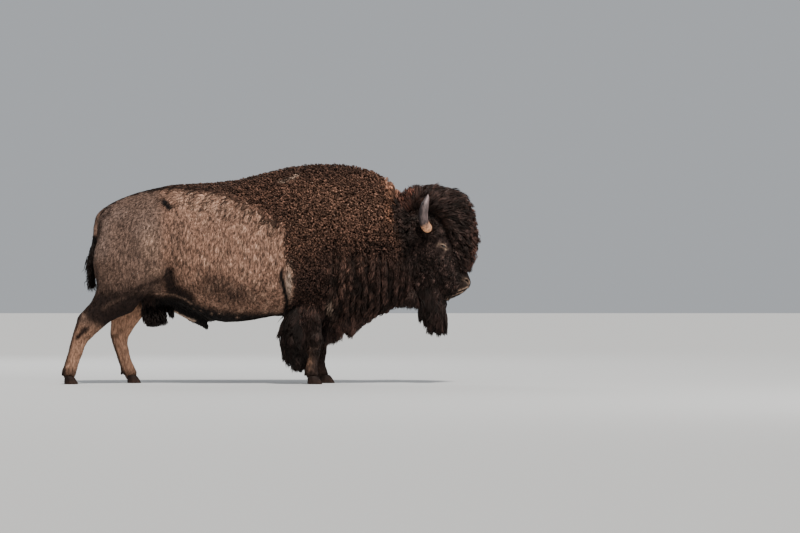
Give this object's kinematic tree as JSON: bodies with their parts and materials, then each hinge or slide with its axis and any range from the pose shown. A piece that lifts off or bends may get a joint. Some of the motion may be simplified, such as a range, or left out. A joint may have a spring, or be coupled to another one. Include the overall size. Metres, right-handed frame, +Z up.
{
  "type": "american bison bull",
  "caption": "Life-size american bison bull, standing, with humped woolly shoulders, bearded head, mop of hair and short up-curved horns; its hooves rest on the floor.",
  "frame": {"origin": "on the floor, under the middle of the bounding box", "axes": "+X towards the head, +Y to the bull's left, +Z up"},
  "size_m": [3.3782, 0.7726, 1.8032],
  "materials": {
    "short_coat": "short flat coat, light grey-brown, sunlit taupe on the ribs and rump",
    "wool": "dense woolly cape, dark brown, rusty at the top of the hump's front",
    "dark_hair": "long coarse hair, brown-black, slightly glossy",
    "shank_coat": "very short coat on the lower legs, dull brown",
    "horn": "weathered grey horn with a buff base",
    "hoof": "dull dark horn",
    "eyeball": "wet, near black"
  },
  "bodies": {
    "root": {"barrel": "short_coat", "beard": "dark_hair", "brisket_hair": "dark_hair", "chaps_left": "dark_hair", "chaps_right": "dark_hair", "ear_left": "dark_hair", "ear_right": "dark_hair", "eye_left": "eyeball", "eye_right": "eyeball", "foreleg_left_cannon": "shank_coat", "foreleg_left_dewclaw_inner": "hoof", "foreleg_left_dewclaw_outer": "hoof", "foreleg_left_forearm": "shank_coat", "foreleg_left_hoof_inner": "hoof", "foreleg_left_hoof_outer": "hoof", "foreleg_left_pastern": "shank_coat", "foreleg_right_cannon": "shank_coat", "foreleg_right_dewclaw_inner": "hoof", "foreleg_right_dewclaw_outer": "hoof", "foreleg_right_forearm": "shank_coat", "foreleg_right_hoof_inner": "hoof", "foreleg_right_hoof_outer": "hoof", "foreleg_right_pastern": "shank_coat", "forelock": "dark_hair", "head": "dark_hair", "hindleg_left_cannon": "shank_coat", "hindleg_left_dewclaw_inner": "hoof", "hindleg_left_dewclaw_outer": "hoof", "hindleg_left_gaskin": "shank_coat", "hindleg_left_hoof_inner": "hoof", "hindleg_left_hoof_outer": "hoof", "hindleg_left_pastern": "shank_coat", "hindleg_left_thigh": "short_coat", "hindleg_right_cannon": "shank_coat", "hindleg_right_dewclaw_inner": "hoof", "hindleg_right_dewclaw_outer": "hoof", "hindleg_right_gaskin": "shank_coat", "hindleg_right_hoof_inner": "hoof", "hindleg_right_hoof_outer": "hoof", "hindleg_right_pastern": "shank_coat", "hindleg_right_thigh": "short_coat", "horn_left": "horn", "horn_right": "horn", "neck": "wool", "rump": "short_coat", "scrotum": "shank_coat", "sheath": "shank_coat", "shoulders": "wool", "tail": "short_coat", "tail_tuft": "dark_hair"}
  },
  "joints": []
}
